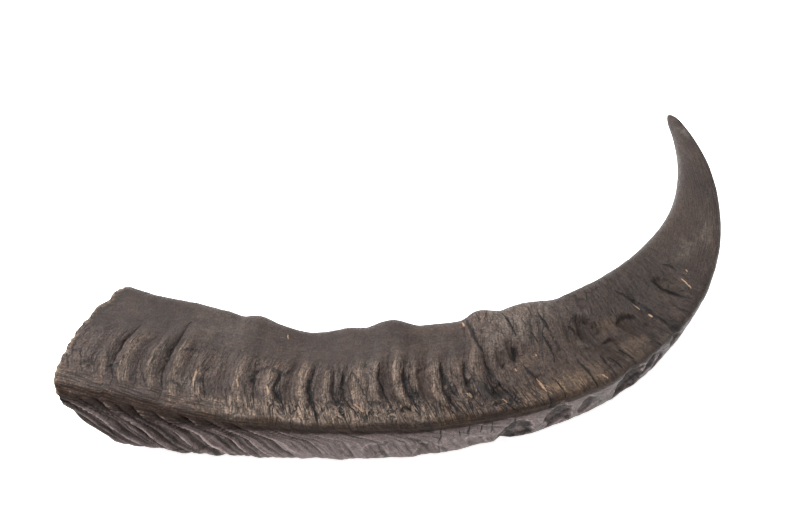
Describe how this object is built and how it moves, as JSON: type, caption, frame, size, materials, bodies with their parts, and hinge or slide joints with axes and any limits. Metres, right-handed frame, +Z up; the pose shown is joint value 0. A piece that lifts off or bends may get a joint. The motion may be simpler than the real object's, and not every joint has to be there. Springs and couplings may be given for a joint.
{
  "type": "water buffalo horn",
  "caption": "Hollow, curved water buffalo horn sheath with a ribbed upper face, a long keel, a slanted ragged open base and a solid tapering tip.",
  "frame": {"origin": "centre of the horn's bounding box on the surface it lies on, z = 0", "axes": "+Z up; +X along the lying horn from its open base towards its bend; +Y from the outer keel towards the tip"},
  "size_m": [0.4551, 0.2931, 0.0692],
  "materials": {
    "horn_keratin": "dry dark grey-brown horn keratin, matt with a faint satin keel and tip"
  },
  "bodies": {
    "root": {"horn_base": "horn_keratin", "horn_shaft": "horn_keratin", "horn_bend": "horn_keratin", "horn_tip": "horn_keratin"}
  },
  "joints": []
}
